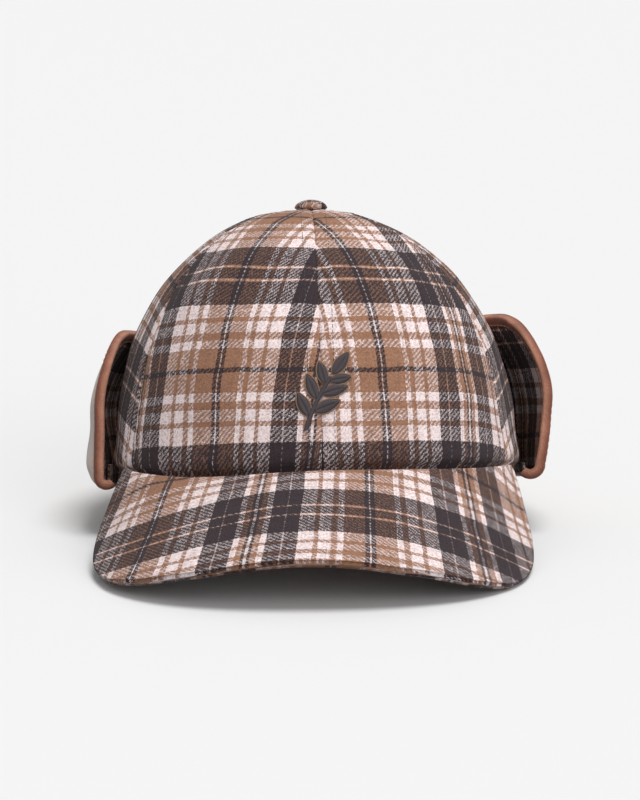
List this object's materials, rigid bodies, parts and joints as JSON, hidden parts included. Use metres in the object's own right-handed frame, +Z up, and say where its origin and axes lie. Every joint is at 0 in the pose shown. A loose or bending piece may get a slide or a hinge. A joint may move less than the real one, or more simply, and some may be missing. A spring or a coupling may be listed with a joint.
{
  "type": "baseball cap with earflaps",
  "caption": "Six-panel wool plaid cap with a curved brim and a lined earflap band turned up round its sides and back, edged in leather.",
  "frame": {"origin": "on the ground, under the middle of the cap's box", "axes": "-Y to the front (brim), +X to the viewer's right when seen from the front, +Z up"},
  "size_m": [0.2006, 0.2718, 0.1398],
  "materials": {
    "crown_front_right": "brushed wool plaid in brown, cream and near-black, 2/2 twill",
    "crown_side_right": "brushed wool plaid in brown, cream and near-black, 2/2 twill",
    "crown_back_right": "brushed wool plaid in brown, cream and near-black, 2/2 twill",
    "crown_back_left": "brushed wool plaid in brown, cream and near-black, 2/2 twill",
    "crown_side_left": "brushed wool plaid in brown, cream and near-black, 2/2 twill",
    "crown_front_left": "brushed wool plaid in brown, cream and near-black, 2/2 twill",
    "button": "brushed wool plaid in brown, cream and near-black, 2/2 twill",
    "brim": "brushed wool plaid in brown, cream and near-black, 2/2 twill",
    "earflap_cloth": "brushed wool plaid in brown, cream and near-black, 2/2 twill",
    "earflap_lining": "soft beige padded lining",
    "earflap_binding": "matte terracotta leather"
  },
  "bodies": {
    "root": {"crown_front_right": "crown_front_right", "crown_side_right": "crown_side_right", "crown_back_right": "crown_back_right", "crown_back_left": "crown_back_left", "crown_side_left": "crown_side_left", "crown_front_left": "crown_front_left", "button": "button", "brim": "brim", "earflap_cloth": "earflap_cloth", "earflap_lining": "earflap_lining", "earflap_binding": "earflap_binding"}
  },
  "joints": []
}
